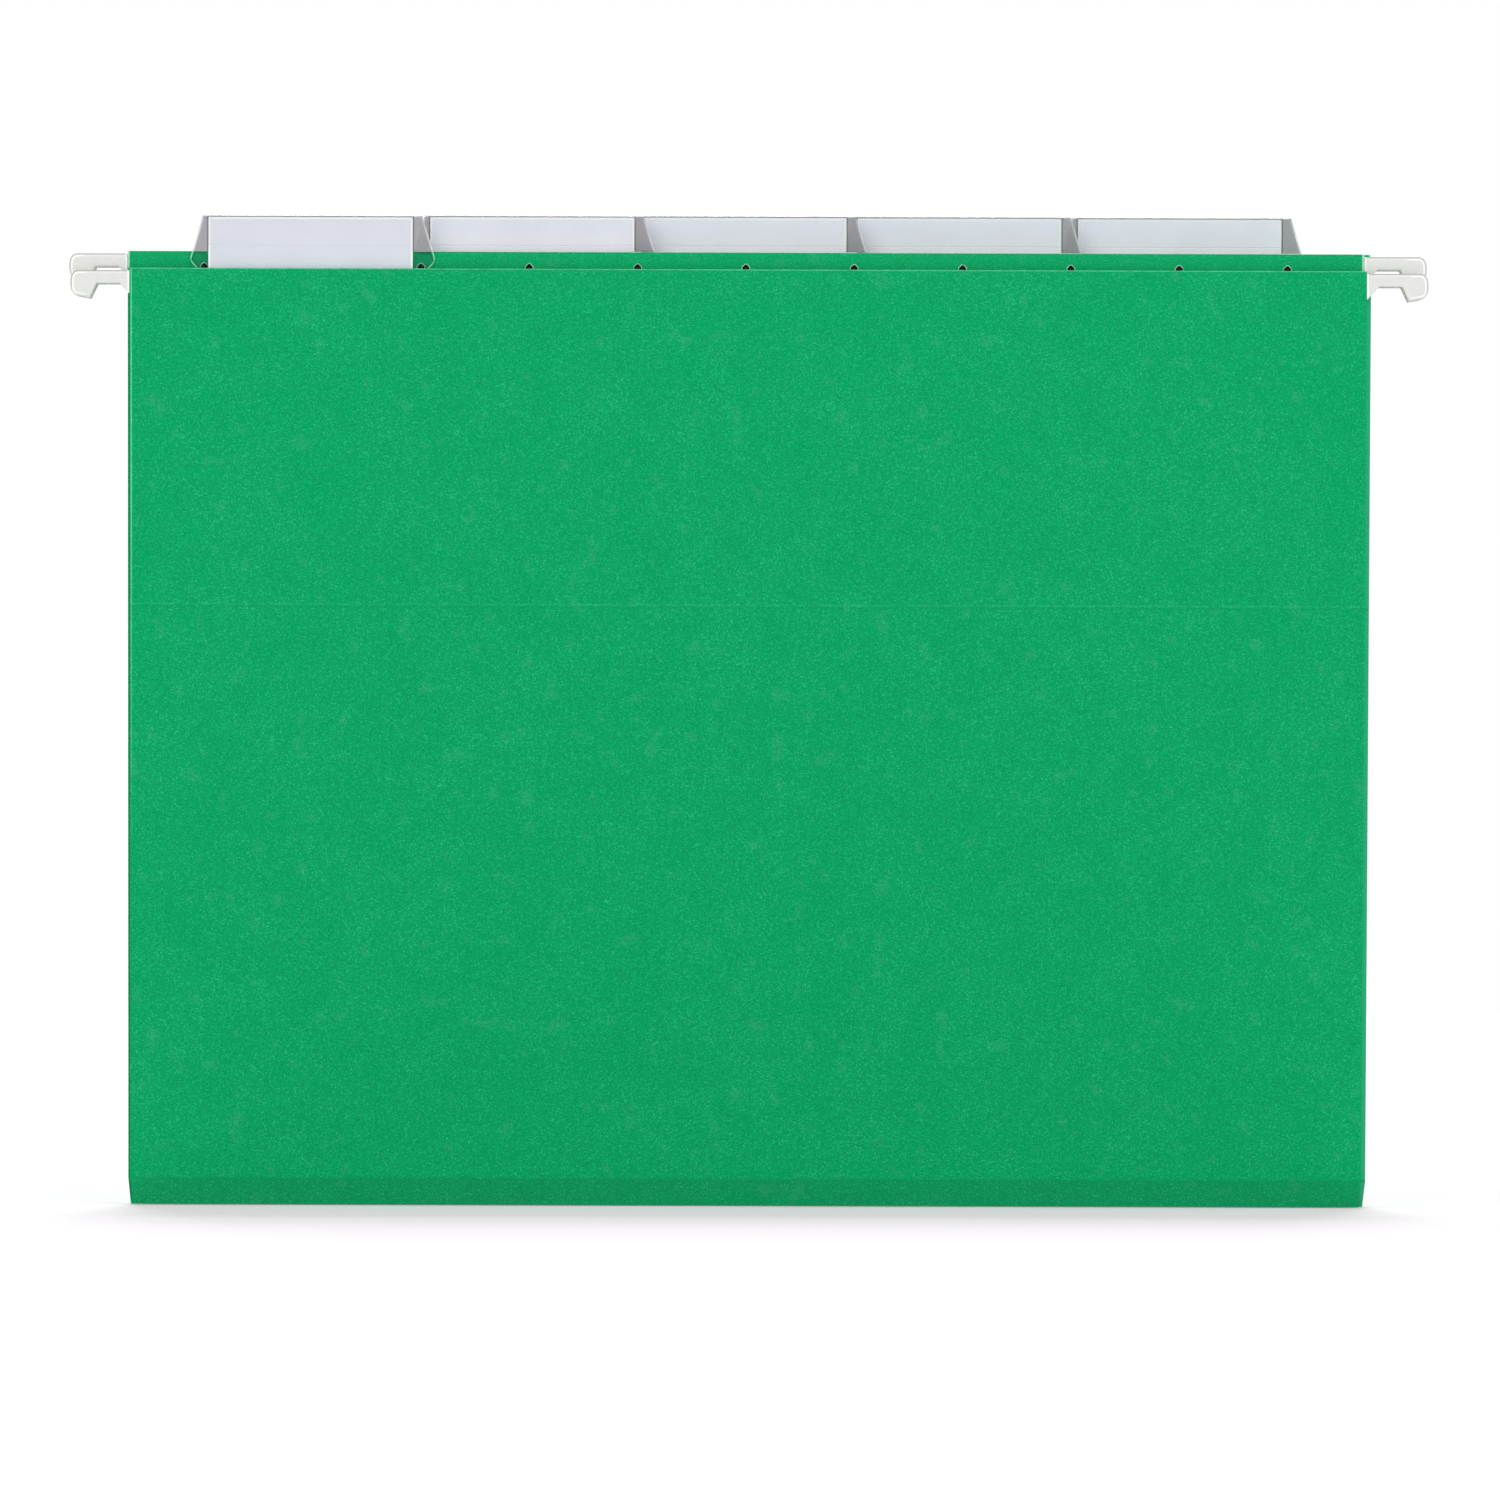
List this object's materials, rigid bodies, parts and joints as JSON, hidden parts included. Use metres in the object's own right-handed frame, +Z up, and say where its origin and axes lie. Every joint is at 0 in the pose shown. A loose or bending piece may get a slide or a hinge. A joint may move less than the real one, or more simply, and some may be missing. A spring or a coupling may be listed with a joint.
{
  "type": "hanging file folder set",
  "caption": "Nested set of hanging file folders in green card, each with hooked steel rods, plastic-dipped hooks and a clear slotted-in tab holding a paper insert.",
  "frame": {"origin": "midway between the two rail seats in the hooks of the first folder's back rod, on that rod's middle plane", "axes": "+X along the rods to the right as seen from the front, +Y from the front folder to the rear one, +Z up"},
  "size_m": [0.3279, 0.0262, 0.2391],
  "materials": {
    "card": "matte dyed card with a fine fibre mottle",
    "steel": "plain rolled strip",
    "hook_plastic": "milky dipped plastic",
    "clear_plastic": "clear glossy sheet",
    "insert_paper": "plain white paper"
  },
  "bodies": {
    "folder_1_back": {"folder_1_back_panel": "card", "folder_1_back_rod": "steel", "folder_1_back_hook_coats": "hook_plastic"},
    "folder_1_front": {"folder_1_front_panel": "card", "folder_1_front_rod": "steel", "folder_1_front_hook_coats": "hook_plastic", "folder_1_tab": "clear_plastic"},
    "folder_1_insert": {"folder_1_insert": "insert_paper"},
    "folder_2_back": {"folder_2_back_panel": "card", "folder_2_back_rod": "steel", "folder_2_back_hook_coats": "hook_plastic"},
    "folder_2_front": {"folder_2_front_panel": "card", "folder_2_front_rod": "steel", "folder_2_front_hook_coats": "hook_plastic", "folder_2_tab": "clear_plastic"},
    "folder_2_insert": {"folder_2_insert": "insert_paper"},
    "folder_3_back": {"folder_3_back_panel": "card", "folder_3_back_rod": "steel", "folder_3_back_hook_coats": "hook_plastic"},
    "folder_3_front": {"folder_3_front_panel": "card", "folder_3_front_rod": "steel", "folder_3_front_hook_coats": "hook_plastic", "folder_3_tab": "clear_plastic"},
    "folder_3_insert": {"folder_3_insert": "insert_paper"},
    "folder_4_back": {"folder_4_back_panel": "card", "folder_4_back_rod": "steel", "folder_4_back_hook_coats": "hook_plastic"},
    "folder_4_front": {"folder_4_front_panel": "card", "folder_4_front_rod": "steel", "folder_4_front_hook_coats": "hook_plastic", "folder_4_tab": "clear_plastic"},
    "folder_4_insert": {"folder_4_insert": "insert_paper"},
    "folder_5_back": {"folder_5_back_panel": "card", "folder_5_back_rod": "steel", "folder_5_back_hook_coats": "hook_plastic"},
    "folder_5_front": {"folder_5_front_panel": "card", "folder_5_front_rod": "steel", "folder_5_front_hook_coats": "hook_plastic", "folder_5_tab": "clear_plastic"},
    "folder_5_insert": {"folder_5_insert": "insert_paper"}
  },
  "joints": [
    {"name": "folder_1_fold", "type": "hinge", "parent": "folder_1_back", "child": "folder_1_front", "pos_m": [0, -0.00173, -0.22638], "axis": [1, 0, 0], "range_deg": [0, 25]},
    {"name": "folder_1_insert_slide", "type": "slide", "parent": "folder_1_front", "child": "folder_1_insert", "axis": [1, 0, 0], "range_m": [0, 0.056]},
    {"name": "folder_2_rail_slide", "type": "slide", "parent": "folder_1_back", "child": "folder_2_back", "axis": [0, 1, 0], "range_m": [0, 0.10472]},
    {"name": "folder_2_fold", "type": "hinge", "parent": "folder_2_back", "child": "folder_2_front", "pos_m": [0, 0.00357, -0.22638], "axis": [1, 0, 0], "range_deg": [0, 25]},
    {"name": "folder_2_insert_slide", "type": "slide", "parent": "folder_2_front", "child": "folder_2_insert", "axis": [1, 0, 0], "range_m": [0, 0.056]},
    {"name": "folder_3_rail_slide", "type": "slide", "parent": "folder_2_back", "child": "folder_3_back", "axis": [0, 1, 0], "range_m": [0, 0.10472]},
    {"name": "folder_3_fold", "type": "hinge", "parent": "folder_3_back", "child": "folder_3_front", "pos_m": [0, 0.00887, -0.22638], "axis": [1, 0, 0], "range_deg": [0, 25]},
    {"name": "folder_3_insert_slide", "type": "slide", "parent": "folder_3_front", "child": "folder_3_insert", "axis": [1, 0, 0], "range_m": [0, 0.056]},
    {"name": "folder_4_rail_slide", "type": "slide", "parent": "folder_3_back", "child": "folder_4_back", "axis": [0, 1, 0], "range_m": [0, 0.10472]},
    {"name": "folder_4_fold", "type": "hinge", "parent": "folder_4_back", "child": "folder_4_front", "pos_m": [0, 0.01417, -0.22638], "axis": [1, 0, 0], "range_deg": [0, 25]},
    {"name": "folder_4_insert_slide", "type": "slide", "parent": "folder_4_front", "child": "folder_4_insert", "axis": [1, 0, 0], "range_m": [0, 0.056]},
    {"name": "folder_5_rail_slide", "type": "slide", "parent": "folder_4_back", "child": "folder_5_back", "axis": [0, 1, 0], "range_m": [0, 0.10472]},
    {"name": "folder_5_fold", "type": "hinge", "parent": "folder_5_back", "child": "folder_5_front", "pos_m": [0, 0.01947, -0.22638], "axis": [1, 0, 0], "range_deg": [0, 25]},
    {"name": "folder_5_insert_slide", "type": "slide", "parent": "folder_5_front", "child": "folder_5_insert", "axis": [1, 0, 0], "range_m": [0, 0.056]}
  ],
  "couplings": [
    {"joint": "folder_2_fold", "follows": "folder_2_rail_slide", "rad_per_m": 4.1667},
    {"joint": "folder_3_fold", "follows": "folder_3_rail_slide", "rad_per_m": 4.1667},
    {"joint": "folder_4_fold", "follows": "folder_4_rail_slide", "rad_per_m": 4.1667},
    {"joint": "folder_5_fold", "follows": "folder_5_rail_slide", "rad_per_m": 4.1667}
  ]
}
